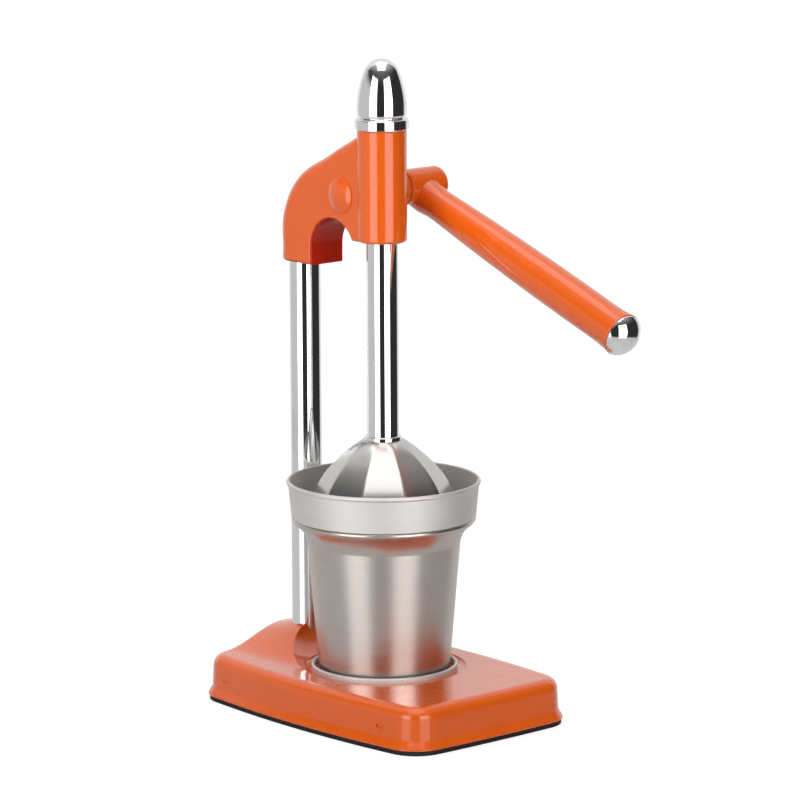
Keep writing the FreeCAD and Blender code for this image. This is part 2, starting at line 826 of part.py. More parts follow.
def axle_end_screw():
    """The screw in the end of the axle that keeps the hub on."""
    head = (end_screw_head_r, end_screw_head_height)
    seat = pinion_axis + ALONG_X * end_screw_seat_x
    return headed_screw(seat, -ALONG_X, *head, end_screw_r - fit_gap, end_screw_length)


# Plunger


def rack_shaft():
    """The chromed shaft, with rack teeth cut along its back and a tapped foot."""
    top_edge = 1.5
    steps = [
        (shaft_r, shaft_bottom_z),
        (shaft_r, shaft_top_z - top_edge),
        (shaft_r - top_edge, shaft_top_z),
        (0, shaft_top_z),
    ]
    bar = turned(shaft_axis, ALONG_Z, (0, shaft_bottom_z), steps)
    tip_y = shaft_y + rack_pitch_y + gear_module
    root_y = shaft_y + rack_pitch_y - tooth_root_depth
    slope = math.tan(pressure_angle)
    half_gap = tooth_pitch / 4 + tooth_backlash / 4
    half_at_tip = half_gap + gear_module * slope
    half_at_root = half_gap - tooth_root_depth * slope
    clear_y = shaft_y + shaft_r + 1
    lowest = pinion_z - shaft_travel - overshoot
    gaps_down = int((pinion_z - lowest) / tooth_pitch)
    first_gap = pinion_z - tooth_pitch * (gaps_down + 0.5)
    steps = [(tip_y, first_gap - half_at_tip - 0.4)]
    gap = first_gap
    while gap < shaft_top_z + tooth_pitch:
        steps.append((tip_y, gap - half_at_tip))
        steps.append((root_y, gap - half_at_root))
        steps.append((root_y, gap + half_at_root))
        steps.append((tip_y, gap + half_at_tip))
        gap += tooth_pitch
    steps.append((clear_y, gap))
    comb = extruded_along_x((clear_y, first_gap - half_at_tip - 0.4), steps, shaft_r + 1)
    thread_end = shaft_bottom_z + presser_screw_length + 2
    thread = rod(shaft_axis, ALONG_Z, presser_screw_r, shaft_bottom_z - 1, thread_end)
    return bar.cut(comb).cut(thread)


def shaft_collar():
    """The thin ring round the foot of the shaft, on top of the presser."""
    inner_r = shaft_r + fit_gap
    steps = [
        (collar_r, shaft_bottom_z),
        (collar_r, shaft_bottom_z + 1.4),
        (collar_r - 0.4, shaft_bottom_z + 2.2, collar_r - 1.1, shaft_bottom_z + 2.4),
        (inner_r, shaft_bottom_z + 2.4),
    ]
    return turned(shaft_axis, ALONG_Z, (inner_r, shaft_bottom_z), steps)


def lobed_slice(radius, z, lobes, depth, turn):
    """A closed round outline with shallow lobes."""
    points = []
    count = lobes * 8
    for step in range(count):
        angle = 2 * math.pi * step / count
        reach = radius - depth * (1 - math.cos(lobes * (angle - turn))) / 2
        points.append(Vector(reach * math.cos(angle), shaft_y + reach * math.sin(angle), z))
    curve = Part.BSplineCurve()
    curve.interpolate(Points=points, PeriodicFlag=True)
    return Part.Wire([curve.toShape()])


def lobed_body(stations, lobes, turn):
    """A solid through lobed slices. A station is its height, radius and lobe depth."""
    slices = [lobed_slice(radius, z, lobes, depth, turn) for z, radius, depth in stations]
    return outward(Part.makeLoft(slices, True, False))


def panelled_slice(radius, z, roundness):
    """A closed outline of equal panels: flat between ridges at no roundness, a circle at full roundness."""
    step = 2 * math.pi / presser_panels
    turn = math.radians(presser_turn_deg)
    middle_r = radius * (math.cos(step / 2) * (1 - roundness) + roundness)
    centre = shaft_axis + ALONG_Z * z
    edges = []
    for panel in range(presser_panels):
        start = turn + step * (panel - 0.5)
        corners = []
        for angle, reach in ((start, radius), (start + step / 2, middle_r), (start + step, radius)):
            corners.append(centre + Vector(math.cos(angle), math.sin(angle), 0) * reach)
        edges.append(Part.Arc(*corners).toShape())
    return Part.Wire(edges)


def presser_body(inset, drop):
    """The bell as a solid, drawn in by the inset and lowered by the drop."""
    slices = []
    for z, radius, roundness in presser_stations():
        slices.append(panelled_slice(radius - inset, z - drop, roundness))
    return outward(Part.makeLoft(slices, True, False))


def presser_stations():
    """The bell from its rim to its flat top: height, radius of the ridges, and how round the slice is."""
    stations = []
    for climb in (0, 0.22, 0.43, 0.6, 0.75, 0.88, 1):
        swell = (1 - climb**1.9) ** 0.93
        z = presser_rim_z + (shaft_bottom_z - presser_rim_z) * climb
        radius = presser_neck_r + (presser_rim_r - presser_neck_r) * swell
        stations.append((z, radius, 0.2 + 0.7 * climb**5))
    return stations


def presser_bell():
    """The panelled steel bell that presses the fruit, open below."""
    outer = presser_body(0, 0)
    hollow = presser_body(presser_wall, presser_wall * 0.6)
    roof_bottom = shaft_bottom_z - presser_wall
    roof = rod(shaft_axis, ALONG_Z, presser_rim_r, roof_bottom, shaft_bottom_z + overshoot)
    hole = rod(shaft_axis, ALONG_Z, presser_hole_r, roof_bottom - 1, shaft_bottom_z + 1)
    return outer.cut(hollow.cut(roof)).cut(hole)


def presser_washer():
    """The washer inside the bell."""
    top = shaft_bottom_z - presser_wall
    return sleeve(shaft_axis, ALONG_Z, presser_hole_r, presser_washer_r, top - presser_washer_thickness, top)


def presser_screw():
    """The screw that holds the bell to the shaft."""
    seat = shaft_axis + ALONG_Z * (shaft_bottom_z - presser_wall - presser_washer_thickness)
    head = (presser_screw_head_r, presser_screw_head_height)
    return headed_screw(seat, ALONG_Z, *head, presser_screw_r - fit_gap, presser_screw_length)


# Cup and strainer


def juice_cup():
    """The steel cup: a tapered wall, a flared shoulder and a rolled lip."""
    floor = cup_bottom_z + sheet
    steps = [
        (37.5, cup_bottom_z),
        (39.2, 26.9, 40.0, 28.8),
        (46.6, 106.0),
        (49.3, 112.7, 54.4, 117.7),
        (55.3, 118.8),
        (56.0, 120.6, 55.0, 121.8),
        (54.2, 121.6, 53.9, 120.8),
        (53.6, 118.6),
        (48.3, 113.3, 45.6, 106.2),
        (39.0, 29.0),
        (38.4, 27.8, 37.3, floor),
        (0, floor),
    ]
    return turned(shaft_axis, ALONG_Z, (0, cup_bottom_z), steps)


def strainer_bowl():
    """The strainer: a drained floor, a round bowl, a ledge on the cup's lip, a band and a rolled rim."""
    floor_top = strainer_floor_z + sheet
    steps = [
        (38.0, strainer_floor_z),
        (42.9, 109.3, 45.6, 113.0),
        (50.6, 119.8),
        (52.8, 122.1),
        (56.2, 122.1),
        (58.0, 141.6),
        (59.0, 142.6, 58.6, 144.0),
        (57.6, 144.4, 56.9, 143.2),
        (55.2, 123.1),
        (51.6, 123.1),
        (49.8, 120.5),
        (44.8, 113.6),
        (42.2, 110.2, 38.0, floor_top),
        (0, floor_top),
    ]
    bowl = turned(shaft_axis, ALONG_Z, (0, strainer_floor_z), steps)
    holes = []
    for ring, ring_r in enumerate((32.2, 36.2, 40.2)):
        for step in range(drain_holes):
            angle = math.tau * (step + 0.5 * (ring % 2)) / drain_holes
            place = shaft_axis + Vector(ring_r * math.cos(angle), ring_r * math.sin(angle), 0)
            holes.append(rod(place, ALONG_Z, drain_hole_r, strainer_floor_z - 2, floor_top + 3))
    return bowl.cut(holes[0].fuse(holes[1:]))


def reamer_stations():
    """The cone from its foot to its blunt tip: height, radius of the ribs, and how deep the flutes are."""
    return [
        (strainer_floor_z + sheet, 29.5, 3.4),
        (118.0, 27.4, 3.4),
        (129.0, 22.2, 2.9),
        (139.0, 15.2, 2.1),
        (146.0, 8.2, 1.0),
        (reamer_tip_z, 2.4, 0.1),
    ]


def reamer_cone():
    """The ribbed cone that the fruit is pressed on, hollow from below."""
    outer = lobed_body(reamer_stations(), reamer_ribs, 0.0)
    inside = []
    for z, radius, depth in reamer_stations()[:-1]:
        inside.append((z - reamer_wall * 0.6, radius - reamer_wall, depth))
    return outer.cut(lobed_body(inside, reamer_ribs, 0.0))


# The nodes

pieces = {
    "base_shell": base_shell(),
    "base_mat": base_mat(),
    "bottom_plate": bottom_plate(),
    "plate_screws": plate_screws(),
    "seat_ring": seat_ring(),
    "column_tube": column_tube(),
    "column_plug": column_plug(),
    "column_washer": column_washer(),
    "column_bolt": column_bolt(),
    "head_casting": head_casting(),
    "axle_housing": axle_housing(),
    "column_set_screws": column_set_screws(),
    "guide_bush_lower": guide_bush(head_bottom_z + 0.4, lower_bush_top_z),
    "guide_bush_upper": guide_bush(upper_bush_bottom_z, cap_spigot_z),
    "axle_bush_near": axle_bush(-chamber_half_width - near_bush_length, -chamber_half_width),
    "axle_bush_far": axle_bush(far_bush_start_x, housing_end_x - 1),
    "dome_cap": dome_cap(),
    "lever_arm": lever_arm(),
    "lever_end_plug": lever_end_plug(),
    "axle": axle(),
    "pinion": pinion(),
    "pinion_key": pinion_key(),
    "pinion_washers": pinion_washers(),
    "hub_washer": hub_washer(),
    "hub_set_screw": hub_set_screw(),
    "axle_end_screw": axle_end_screw(),
    "rack_shaft": rack_shaft(),
    "shaft_collar": shaft_collar(),
    "presser_bell": presser_bell(),
    "presser_washer": presser_washer(),
    "presser_screw": presser_screw(),
    "juice_cup": juice_cup(),
    "strainer_bowl": strainer_bowl(),
    "reamer_cone": reamer_cone(),
}

os.makedirs("parts", exist_ok=True)
for node, shape in pieces.items():
    shape.exportStep("parts/" + node + ".step")
    state = "valid" if shape.isValid() else "NOT VALID"
    print(node, state, len(shape.Solids), round(shape.Volume / 1000, 2), "cm3")
print("shaft travel", round(shaft_travel, 3), "pinion axis", round(pinion_y, 3), pinion_z)
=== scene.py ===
import json
import math

import bpy
from bpy.props import FloatProperty, FloatVectorProperty, IntProperty, PointerProperty
from mathutils import Matrix, Vector


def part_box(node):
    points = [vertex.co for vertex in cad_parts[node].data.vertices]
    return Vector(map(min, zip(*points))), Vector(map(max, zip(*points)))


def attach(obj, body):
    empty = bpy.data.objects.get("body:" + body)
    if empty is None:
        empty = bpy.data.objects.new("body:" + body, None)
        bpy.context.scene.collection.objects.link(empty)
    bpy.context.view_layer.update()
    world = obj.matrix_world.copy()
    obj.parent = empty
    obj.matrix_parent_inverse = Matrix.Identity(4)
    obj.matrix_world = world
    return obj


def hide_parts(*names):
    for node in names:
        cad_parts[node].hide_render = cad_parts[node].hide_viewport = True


# The looks of a lever citrus press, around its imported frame. Lengths are in metres.

bl_info = {
    "name": "Lever citrus press",
    "version": (1, 0, 0),
    "blender": (4, 5, 0),
    "location": "View3D > Sidebar > Citrus press",
    "description": "Finishes, panelled presser, set screws and stage of a citrus press",
    "category": "Object",
}

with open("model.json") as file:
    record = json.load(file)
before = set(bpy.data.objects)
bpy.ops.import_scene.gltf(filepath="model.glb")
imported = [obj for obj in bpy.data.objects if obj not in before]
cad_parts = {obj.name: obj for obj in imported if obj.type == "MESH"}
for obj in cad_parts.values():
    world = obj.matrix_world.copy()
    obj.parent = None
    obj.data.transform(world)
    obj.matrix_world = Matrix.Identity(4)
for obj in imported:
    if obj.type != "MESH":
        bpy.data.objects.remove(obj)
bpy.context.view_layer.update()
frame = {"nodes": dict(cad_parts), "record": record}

MM = 0.001
cup_low, cup_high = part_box("juice_cup")
AXIS_Y = (cup_low.y + cup_high.y) / 2
AXIS_X = (cup_low.x + cup_high.x) / 2
bell_low, bell_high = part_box("presser_bell")
leg_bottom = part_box("head_casting")[0].z


# Node trees written as arithmetic


class Wire:
    """An output in a node tree, so that maths on it reads as arithmetic."""

    def __init__(self, tree, socket):
        self.tree = tree
        self.socket = socket

    def maths(self, operation, *values, clamp=False):
        kind = "ShaderNodeMath"
        settings = {"operation": operation, "use_clamp": clamp}
        return self.tree.node(kind, settings, dict(enumerate((self, *values))))

    def out(self, name):
        return Wire(self.tree, self.socket.node.outputs[name])

    def part(self, name):
        return self.tree.node("ShaderNodeSeparateXYZ", {}, {0: self}).out(name)

    def dot(self, other):
        settings = {"operation": "DOT_PRODUCT"}
        return self.tree.node("ShaderNodeVectorMath", settings, {0: self, 1: other}).out("Value")

    def __add__(self, other):
        return self.maths("ADD", other)

    def __sub__(self, other):
        return self.maths("SUBTRACT", other)

    def __rsub__(self, other):
        return self.tree.number(other).maths("SUBTRACT", self)

    def __mul__(self, other):
        return self.maths("MULTIPLY", other)

    def __truediv__(self, other):
        return self.maths("DIVIDE", other)

    def __rtruediv__(self, other):
        return self.tree.number(other).maths("DIVIDE", self)

    def __pow__(self, other):
        return self.maths("POWER", other)

    __radd__ = __add__
    __rmul__ = __mul__


class Tree:
    """A node tree in which one method adds any node."""

    def __init__(self, tree):
        self.nodes = tree.nodes
        self.links = tree.links

    def node(self, kind, settings=None, values=None):
        """Adds a node: its type, its settings, and the values or links of its sockets."""
        made = self.nodes.new(kind)
        for name, value in (settings or {}).items():
            if name == "stops":
                self.set_stops(made.color_ramp, value)
            else:
                setattr(made, name, value)
        for name, value in (values or {}).items():
            self.feed(self.socket_of(made, name), value)
        shown = [socket for socket in made.outputs if socket.enabled]
        return Wire(self, shown[0] if shown else None)

    def socket_of(self, made, name):
        if isinstance(name, int):
            return made.inputs[name]
        return next(socket for socket in made.inputs if socket.enabled and socket.name == name)

    def feed(self, socket, value):
        if isinstance(value, Wire):
            self.links.new(value.socket, socket)
        else:
            socket.default_value = value

    def set_stops(self, ramp, stops):
        while len(ramp.elements) < len(stops):
            ramp.elements.new(0.5)
        for element, (position, level) in zip(ramp.elements, stops):
            element.position = position
            element.color = (level, level, level, 1)

    def number(self, value):
        """A constant, for an expression that starts with one."""
        return self.node("ShaderNodeMath", {"operation": "ADD"}, {0: value, 1: 0.0})

    def smooth(self, value, low, high, start=0.0, end=1.0):
        """Rises smoothly from start to end as the value goes from low to high."""
        settings = {"interpolation_type": "SMOOTHSTEP"}
        values = {0: value, 1: low, 2: high, 3: start, 4: end}
        return self.node("ShaderNodeMapRange", settings, values)

    def vector(self, x, y, z):
        return self.node("ShaderNodeCombineXYZ", {}, {0: x, 1: y, 2: z})

    def noise(self, place, scale, detail=2.0, roughness=0.5):
        values = {"Vector": place, "Scale": scale, "Detail": detail, "Roughness": roughness}
        return self.node("ShaderNodeTexNoise", {}, values)

    def mix_colours(self, factor, first, second):
        settings = {"data_type": "RGBA"}
        return self.node("ShaderNodeMix", settings, {"Factor": factor, "A": first, "B": second})

    def bump(self, height, strength, distance):
        values = {"Height": height, "Strength": strength, "Distance": distance}
        return self.node("ShaderNodeBump", {}, values)


def opaque(colour):
    return (*colour[:3], 1.0)


def shaded(colour, level):
    return tuple(min(channel * level, 1.0) for channel in colour[:3]) + (1.0,)


def new_material(name):
    """An empty material and its tree."""
    material = bpy.data.materials.new(name)
    material.use_nodes = True
    material.node_tree.nodes.clear()
    return material, Tree(material.node_tree)


def surface(tree, values):
    """The principled shader at the end of a material."""
    shader = tree.node("ShaderNodeBsdfPrincipled", {}, values)
    tree.node("ShaderNodeOutputMaterial", {}, {"Surface": shader})


def object_place(tree):
    return tree.node("ShaderNodeTexCoord").out("Object")


# What a user would change


class PressFinish(bpy.types.PropertyGroup):
    """Colours and gloss of the press."""

    enamel: FloatVectorProperty(
        name="Enamel",
        description="Colour of the enamel on the base, head and lever",
        subtype="COLOR",
        size=3,
        min=0,
        max=1,
        default=(0.76, 0.112, 0.006),
    )
    enamel_gloss: FloatProperty(
        name="Enamel roughness",
        description="Roughness of the clear top of the enamel",
        subtype="FACTOR",
        min=0,
        max=1,
        default=0.09,
    )
    peel: FloatProperty(
        name="Orange peel",
        description="Height of the enamel's fine ripples",
        subtype="DISTANCE",
        unit="LENGTH",
        min=0,
        default=0.000012,
    )
    chrome: FloatVectorProperty(
        name="Chrome",
        description="Tint of the chromed parts",
        subtype="COLOR",
        size=3,
        min=0,
        max=1,
        default=(0.86, 0.87, 0.88),
    )
    steel: FloatVectorProperty(
        name="Steel",
        description="Tint of the strainer and presser",
        subtype="COLOR",
        size=3,
        min=0,
        max=1,
        default=(0.78, 0.76, 0.74),
    )
    cup_steel: FloatVectorProperty(
        name="Cup steel",
        description="Tint of the cup, a little warmer",
        subtype="COLOR",
        size=3,
        min=0,
        max=1,
        default=(0.60, 0.55, 0.515),
    )
    bronze: FloatVectorProperty(
        name="Bronze",
        description="Tint of the bushes",
        subtype="COLOR",
        size=3,
        min=0,
        max=1,
        default=(0.50, 0.31, 0.13),
    )
    rubber: FloatVectorProperty(
        name="Rubber",
        description="Colour of the mat",
        subtype="COLOR",
        size=3,
        min=0,
        max=1,
        default=(0.014, 0.013, 0.013),
    )


class PressPresser(bpy.types.PropertyGroup):
    """Sizes of the panelled presser."""

    rim_radius: FloatProperty(
        name="Rim radius",
        description="Radius of the presser's ridges at its rim",
        subtype="DISTANCE",
        unit="LENGTH",
        default=45.0 * MM,
    )
    neck_radius: FloatProperty(
        name="Neck radius",
        description="Radius of the flat top under the shaft",
        subtype="DISTANCE",
        unit="LENGTH",
        default=12.0 * MM,
    )
    hole_radius: FloatProperty(
        name="Hole radius",
        description="Radius of the hole for the presser's screw",
        subtype="DISTANCE",
        unit="LENGTH",
        default=3.2 * MM,
    )
    wall: FloatProperty(
        name="Wall",
        description="Thickness of the pressed steel",
        subtype="DISTANCE",
        unit="LENGTH",
        default=1.2 * MM,
    )
    panels: IntProperty(
        name="Panels",
        description="Number of panels round the presser",
        min=3,
        default=10,
    )
    turn: FloatProperty(
        name="Turn",
        description="How far the middle of the first panel is turned from the X axis",
        subtype="ANGLE",
        default=math.radians(-131.0),
    )


class PressScrew(bpy.types.PropertyGroup):
    """Sizes of the socket set screws."""

    across_flats: FloatProperty(
        name="Socket",
        description="Distance across the flats of the hexagon socket",
        subtype="DISTANCE",
        unit="LENGTH",
        default=2.5 * MM,
    )
    socket_depth: FloatProperty(
        name="Socket depth",
        description="Depth of the hexagon socket",
        subtype="DISTANCE",
        unit="LENGTH",
        default=1.8 * MM,
    )
    chamfer: FloatProperty(
        name="Chamfer",
        description="Chamfer round the end of the screw",
        subtype="DISTANCE",
        unit="LENGTH",
        default=0.35 * MM,
    )


class PressStage(bpy.types.PropertyGroup):
    """Camera, floor and light."""

    azimuth: FloatProperty(
        name="Azimuth",
        description="Direction that the camera looks from, round the upright axis",
        subtype="ANGLE",
        default=math.radians(-41.21),
    )
    elevation: FloatProperty(
        name="Elevation",
        description="Height of the camera above the horizon",
        subtype="ANGLE",
        default=math.radians(10.71),
    )
    roll: FloatProperty(
        name="Roll",
        description="Turn of the camera about its line of sight",
        subtype="ANGLE",
        default=math.radians(-0.26),
    )
    place: FloatVectorProperty(
        name="Place",
        description="Where the camera stands",
        subtype="TRANSLATION",
        size=3,
        unit="LENGTH",
        default=(-1.79896, -2.07064, 0.71140),
    )
    lens: FloatProperty(
        name="Lens",
        description="Focal length in millimetres on a 36 mm sensor",
        subtype="NONE",
        default=207.8,
    )
    floor_radius: FloatProperty(
        name="Table radius",
        description="How far the glossy table reaches in the reflections",
        subtype="DISTANCE",
        unit="LENGTH",
        default=0.75,
    )
    strip_level: FloatProperty(
        name="Strip lights",
        description="Brightness of the two upright strip lights",
        min=0,
        default=3.6,
    )
    top_level: FloatProperty(
        name="Top light",
        description="Brightness of the soft light overhead",
        min=0,
        default=1.25,
    )
    fill_power: FloatProperty(
        name="Fill light",
        description="Power of the soft lamp near the head, which no reflection shows",
        subtype="POWER",
        min=0,
        default=0.1,
    )
    room_level: FloatProperty(
        name="Room",
        description="Brightness of the room where no light or pale wall is",
        min=0,
        default=0.03,
    )


# Finishes


def enamel_material(finish):
    """Baked enamel with a glossy top and a trace of orange peel, with painted shade in the arch: a
    darker, redder colour and a thinner coat there.
    """
    material, tree = new_material("orange_enamel")
    place = object_place(tree)
    mottle = tree.noise(place, 38.0, 3.0)
    colour = tree.mix_colours(mottle, shaded(finish.enamel, 0.985), shaded(finish.enamel, 1.015))
    normal = tree.node("ShaderNodeNewGeometry").out("Normal")
    forward = tree.smooth(normal.part("Y"), -0.25, -0.85)
    downward = tree.smooth(normal.part("Z"), -0.15, -0.6)
    sideways = place.part("X").maths("ABSOLUTE")
    behind_front = tree.smooth(place.part("Y"), 14.0 * MM, 20.0 * MM)
    within_web = tree.smooth(sideways, 13.4 * MM, 14.0 * MM, 1.0, 0.0)
    above_leg = tree.smooth(place.part("Z"), leg_bottom - 1.0 * MM, leg_bottom)
    # Painted shade: the faces in the arch get a darker, redder enamel that stands in for the shade there.
    arch_shade_mask = forward.maths("MAXIMUM", downward) * behind_front * within_web * above_leg
    arch_shade_shares = (0.6, 0.16, 0.5)
    painted_arch_shade_colour = opaque([channel * share for channel, share in zip(finish.enamel, arch_shade_shares)])
    colour = tree.mix_colours(arch_shade_mask, colour, painted_arch_shade_colour)
    ripples = tree.noise(place, 230.0, 1.0)
    grain = tree.noise(place, 1900.0, 1.0)
    smears = tree.noise(place, 55.0, 4.0, 0.6)
    values = {
        "Base Color": colour,
        "Roughness": tree.smooth(smears, 0.3, 0.75, 0.22, 0.34),
        "Specular IOR Level": 0.12,
        # The thinner coat in the arch dims its reflections, part of the painted shade.
        "Coat Weight": 1 - arch_shade_mask * 0.75,
        "Coat Roughness": finish.enamel_gloss,
        "Coat IOR": 1.5,
        "Normal": tree.bump(ripples + grain * 0.06, 0.5, finish.peel),
    }
    surface(tree, values)
    return material


def chrome_material(finish):
    """Bright chrome plate with faint wipe marks."""
    material, tree = new_material("bright_chrome")
    place = object_place(tree)
    wipe_place = tree.vector(place.part("X") * 60, place.part("Y") * 60, place.part("Z") * 26)
    wipes = tree.noise(wipe_place, 1.0, 5.0, 0.62)
    waves = tree.noise(place, 70.0, 1.0)
    marks = tree.smooth(wipes, 0.58, 0.74)
    values = {
        "Base Color": tree.mix_colours(marks, opaque(finish.chrome), shaded(finish.chrome, 0.9)),
        "Metallic": 1.0,
        "Roughness": marks * 0.07 + 0.035,
        "Normal": tree.bump(waves, 0.35, 0.00008),
    }
    surface(tree, values)
    return material


def round_the_axis(tree, place):
    """The direction round the upright axis as two parts, and the distance from it."""
    x = place.part("X") - AXIS_X
    y = place.part("Y") - AXIS_Y
    radius = (x * x + y * y).maths("SQRT")
    safe = radius.maths("MAXIMUM", 0.0005)
    return x / safe, y / safe, radius


def brushed_material(name, tint, roughness, smear, lines, depth, inside):
    """Steel brushed round the upright axis. Faces towards the axis get painted shade: their colour is
    scaled by the factor inside.
    """
    material, tree = new_material(name)
    place = object_place(tree)
    across, ahead, radius = round_the_axis(tree, place)
    height = place.part("Z") + radius * 1.37
    brush_place = tree.vector(across * 2.2, ahead * 2.2, height * lines)
    brush = tree.noise(brush_place, 1.0, 4.0, 0.65)
    long_place = tree.vector(across * 0.9, ahead * 0.9, height * lines * 0.16)
    long_lines = tree.noise(long_place, 1.0, 2.0, 0.5)
    clouds = tree.noise(place, 32.0, 3.0, 0.55)
    tone = brush * 0.5 + long_lines * 0.3 + clouds * 0.2
    colour = tree.mix_colours(tree.smooth(tone, 0.32, 0.68), shaded(tint, 0.95), shaded(tint, 1.04))
    normal = tree.node("ShaderNodeNewGeometry").out("Normal")
    # Painted shade: faces towards the axis, within the strainer and cup, get a darker colour.
    outwards = normal.part("X") * across + normal.part("Y") * ahead
    inner_shade_mask = tree.smooth(outwards, 0.05, -0.25)
    painted_inner_shade = tree.node("ShaderNodeVectorMath", {"operation": "SCALE"}, {0: colour, "Scale": inside})
    values = {
        "Base Color": tree.mix_colours(inner_shade_mask, colour, painted_inner_shade),
        "Metallic": 1.0,
        "Roughness": tree.smooth(tone, 0.3, 0.7, roughness * 0.88, roughness * 1.12),
        "Anisotropic": smear,
        "Anisotropic Rotation": 0.25,
        "Normal": tree.bump(brush, 0.35, depth),
    }
    surface(tree, values)
    return material


def pressed_material(finish):
    """Polished pressed steel, with faint lines that run down from the neck."""
    material, tree = new_material("pressed_steel")
    place = object_place(tree)
    across, ahead, radius = round_the_axis(tree, place)
    line_place = tree.vector(across * 90, ahead * 90, place.part("Z") * 40)
    lines = tree.noise(line_place, 1.0, 3.0, 0.6)
    clouds = tree.noise(place, 60.0, 3.0, 0.55)
    tone = lines * 0.6 + clouds * 0.4
    values = {
        "Base Color": tree.mix_colours(tone, shaded(finish.steel, 0.76), shaded(finish.steel, 0.84)),
        "Metallic": 1.0,
        "Roughness": tree.smooth(tone, 0.35, 0.7, 0.2, 0.27),
        "Normal": tree.bump(clouds, 0.3, 0.00012),
    }
    surface(tree, values)
    return material


def machined_material(name, tint, roughness):
    """Plain machined metal with small pits and oil stains."""
    material, tree = new_material(name)
    place = object_place(tree)
    stains = tree.noise(place, 90.0, 4.0, 0.6)
    pits = tree.noise(place, 1500.0, 2.0)
    values = {
        "Base Color": tree.mix_colours(stains, shaded(tint, 0.78), shaded(tint, 1.1)),
        "Metallic": 1.0,
        "Roughness": tree.smooth(stains, 0.3, 0.7, roughness * 0.8, roughness * 1.25),
        "Normal": tree.bump(pits, 0.4, 0.00003),
    }
    surface(tree, values)
    return material


def rubber_material(finish):
    """Matt black sheet rubber with a fine grain and a little dust."""
    material, tree = new_material("mat_rubber")
    place = object_place(tree)
    dust = tree.smooth(tree.noise(place, 60.0, 5.0, 0.65), 0.45, 0.75)
    grain = tree.noise(place, 2200.0, 2.0)
    dusty = (0.05, 0.047, 0.044, 1)
    values = {
        "Base Color": tree.mix_colours(dust * 0.35, opaque(finish.rubber), dusty),
        "Roughness": dust * 0.15 + 0.62,
        "Specular IOR Level": 0.3,
        "Normal": tree.bump(grain, 0.5, 0.00006),
    }
    surface(tree, values)
    return material


def nodes_in(slot):
    """The frame's nodes whose record gives them this material slot."""
    subparts = frame["record"]["subparts"]
    return [frame["nodes"][part["node"]] for part in subparts if part["material_slot"] == slot]


def dress(piece, material):
    """Gives a piece one material in all its slots."""
    if not piece.material_slots:
        piece.data.materials.append(material)
    for slot in piece.material_slots:
        slot.material = material


# Geometry trees


def new_geometry_tree(name, inputs):
    """A geometry tree with a geometry input and named inputs, and its input and output nodes."""
    group = bpy.data.node_groups.new(name, "GeometryNodeTree")
    group.interface.new_socket(name="Geometry", in_out="INPUT", socket_type="NodeSocketGeometry")
    group.interface.new_socket(name="Geometry", in_out="OUTPUT", socket_type="NodeSocketGeometry")
    for label, kind in inputs:
        group.interface.new_socket(name=label, in_out="INPUT", socket_type="NodeSocket" + kind)
    tree = Tree(group)
    entry = tree.node("NodeGroupInput")
    return group, tree, entry


def end_tree(tree, geometry, material):
    """Ends a geometry tree in real geometry with its material."""
    real = tree.node("GeometryNodeRealizeInstances", {}, {"Geometry": geometry})
    dressed = tree.node("GeometryNodeSetMaterial", {}, {"Geometry": real, "Material": material})
    tree.node("NodeGroupOutput", {}, {"Geometry": dressed})


def grown(name, mesh, group, values):
    """A plain mesh piece: the mesh run through a geometry tree, with these values in its inputs."""
    piece = bpy.data.objects.new(name, mesh)
    bpy.context.scene.collection.objects.link(piece)
    modifier = piece.modifiers.new("grow", "NODES")
    modifier.node_group = group
    for item in group.interface.items_tree:
        if item.in_out == "INPUT" and item.name in values:
            modifier[item.identifier] = values[item.name]
    return bake(piece)


def bake(piece):
    """Turns a piece's modifiers into a plain mesh."""
    evaluated = piece.evaluated_get(bpy.context.evaluated_depsgraph_get())
    mesh = bpy.data.meshes.new_from_object(evaluated)
    piece.modifiers.clear()
    piece.data = mesh
    mesh.name = piece.name
    return piece


